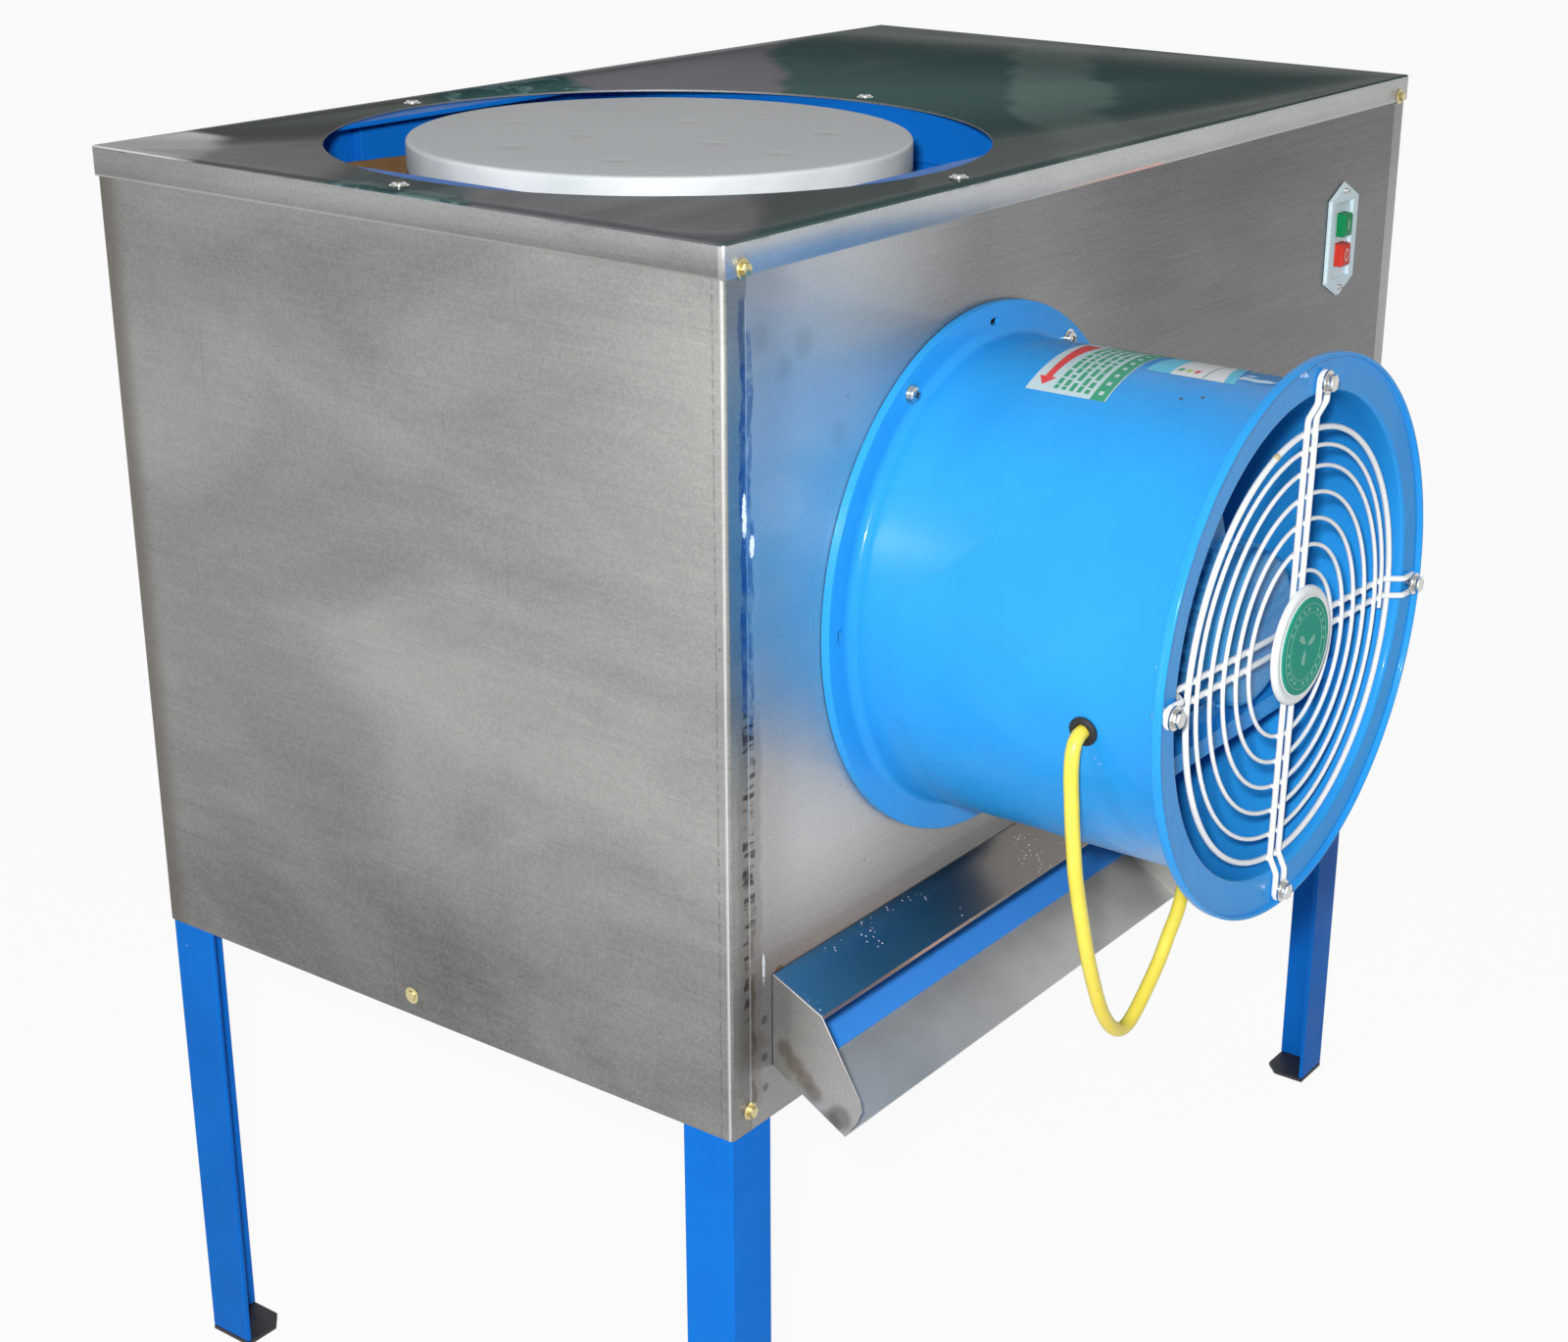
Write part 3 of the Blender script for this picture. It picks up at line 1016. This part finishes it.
def smooth(points, step):
    """Reads points at an even step from a smooth curve through the given ones."""
    ends = [2 * points[0] - points[1], *points, 2 * points[-1] - points[-2]]
    fine = []
    for a, b, c, d in zip(ends, ends[1:], ends[2:], ends[3:]):
        for k in range(12):
            t = k / 12
            bend = (2 * a - 5 * b + 4 * c - d) * t * t + (3 * b - a - 3 * c + d) * t ** 3
            fine.append(0.5 * (2 * b + (c - a) * t + bend))
    fine.append(points[-1])
    lengths = [0.0]
    for a, b in zip(fine, fine[1:]):
        lengths.append(lengths[-1] + (b - a).length)
    count = round(lengths[-1] / step)
    even = []
    i = 0
    for k in range(count + 1):
        want = lengths[-1] * k / count
        while i < len(fine) - 2 and lengths[i + 1] < want:
            i += 1
        share = (want - lengths[i]) / (lengths[i + 1] - lengths[i])
        even.append(fine[i].lerp(fine[i + 1], min(share, 1)))
    return even


def make_cord(cabinet):
    """The yellow fan cord as one tube, and the grommet where it enters the cabinet."""
    points = smooth(cord_route(), CORD_STEP * CORD_DIAMETER)
    curve = bpy.data.curves.new("fan_cord", "CURVE")
    curve.dimensions = "3D"
    curve.bevel_depth = CORD_DIAMETER / 2
    curve.bevel_resolution = 3
    curve.use_fill_caps = True
    spline = curve.splines.new("POLY")
    spline.points.add(len(points) - 1)
    for target, point in zip(spline.points, points):
        target.co = (*point, 1)
    cord = bpy.data.objects.new("fan_cord", curve)
    bpy.context.scene.collection.objects.link(cord)
    cord.parent = cabinet
    colour, roughness, metallic = CORD_YELLOW
    paint = bpy.data.materials.new("fan_cord_finish")
    paint.use_nodes = True
    shader = paint.node_tree.nodes["Principled BSDF"]
    shader.inputs["Base Color"].default_value = (*colour, 1.0)
    shader.inputs["Roughness"].default_value = roughness
    shader.inputs["Metallic"].default_value = metallic
    curve.materials.append(paint)
    entry = empty("entry_axis", cabinet, (ENTRY_X, -PANEL_Y, ENTRY_HEIGHT), (math.pi / 2, 0, 0))
    make_grommet("entry_grommet", entry, -SHEET, 0)


def switch_outline(inset, out):
    """The switch cover's six corners, drawn in by an inset."""
    x, low, high = SWITCH_HALF_WIDTH - inset, SWITCH_SHOULDER - inset / 2, SWITCH_APEX - inset
    return [(x, -low, out), (x, low, out), (0, high, out), (-x, low, out), (-x, -low, out), (0, -high, out)]


def make_switch(face):
    """Cover with a sunk window, contact block behind the panel, and two push buttons."""
    step = SWITCH_STEP
    rings = [
        switch_outline(0, GAP), switch_outline(0, SWITCH_BASE), switch_outline(step, SWITCH_BASE),
        switch_outline(step, SWITCH_DEPTH - step / 2), switch_outline(step + step / 2, SWITCH_DEPTH),
    ]
    cover = piece("switch_cover", loft(rings), WHITE_PLASTIC, face)
    floor = SWITCH_DEPTH - WINDOW_DEPTH
    x, y = WINDOW_HALF_WIDTH, WINDOW_HALF_HEIGHT
    window = block((-x, x), (-y, y), (floor, SWITCH_DEPTH + OVERRUN))
    combine(cover, piece("switch_window", window, None, face))
    deep = -SHEET - GAP
    x, y = SWITCH_BODY_HALF_WIDTH, SWITCH_BODY_HALF_HEIGHT
    body = piece("switch_body", block((-x, x), (-y, y), (deep - SWITCH_BODY_DEPTH, deep)), BLACK_PAINT, face)
    half_x = BUTTON_WIDTH / 2 + BUTTON_CLEARANCE
    half_y = BUTTON_HEIGHT / 2 + BUTTON_CLEARANCE
    for name, side, look in (("start_button", 1, BUTTON_GREEN), ("stop_button", -1, BUTTON_RED)):
        at = (0, side * BUTTON_PITCH / 2, 0)
        well = block((-half_x, half_x), (-half_y, half_y), (deep - SWITCH_POCKET, floor + OVERRUN))
        tool = piece(name + "_well", well, None, face, at)
        combine(cover, tool)
        combine(body, tool)
        x, y = BUTTON_WIDTH / 2, BUTTON_HEIGHT / 2
        edge = BUTTON_EDGE
        cap = loft([
            [(u, v, -BUTTON_TAIL) for u, v in rectangle(-x, x, -y, y)],
            [(u, v, BUTTON_FACE - edge) for u, v in rectangle(-x, x, -y, y)],
            [(u, v, BUTTON_FACE) for u, v in rectangle(edge - x, x - edge, edge - y, y - edge)],
        ])
        piece(name, cap, look, face, at)


def main():
    """Builds the machine round the middle of its cabinet."""
    clear_scene()
    cabinet = empty("cabinet", None, (0, BODY_Y, 0))
    make_legs(cabinet)
    make_frames(cabinet)
    make_lid(cabinet)
    make_end_panel("left_panel", -1, cabinet)
    make_end_panel("right_panel", 1, cabinet)
    make_front_panel(cabinet)
    make_rear(cabinet)
    make_walls(cabinet)
    make_chute(cabinet)
    make_slide(cabinet)
    make_supports(cabinet)
    make_bearings(cabinet)
    make_disc(empty("disc_axis", cabinet, (DISC_X, 0, 0)))
    make_belt(cabinet)
    make_drive(cabinet, empty("drive_axis", cabinet, (MOTOR_X, 0, 0)))
    fan = empty("fan_axis", cabinet, (FAN_X, -PANEL_Y, FAN_HEIGHT), (math.pi / 2, 0, 0))
    guard = empty("guard_axis", fan, (0, -GRILLE_DROP, 0), (0, 0, GRILLE_TURN))
    make_fan_housing(fan, guard)
    make_fan_motor(fan)
    make_impeller(fan)
    make_grille(guard)
    make_bolts(guard)
    make_cord(cabinet)
    make_switch(empty("switch_axis", cabinet, (SWITCH_X, -PANEL_Y, SWITCH_HEIGHT), (math.pi / 2, 0, 0)))


main()
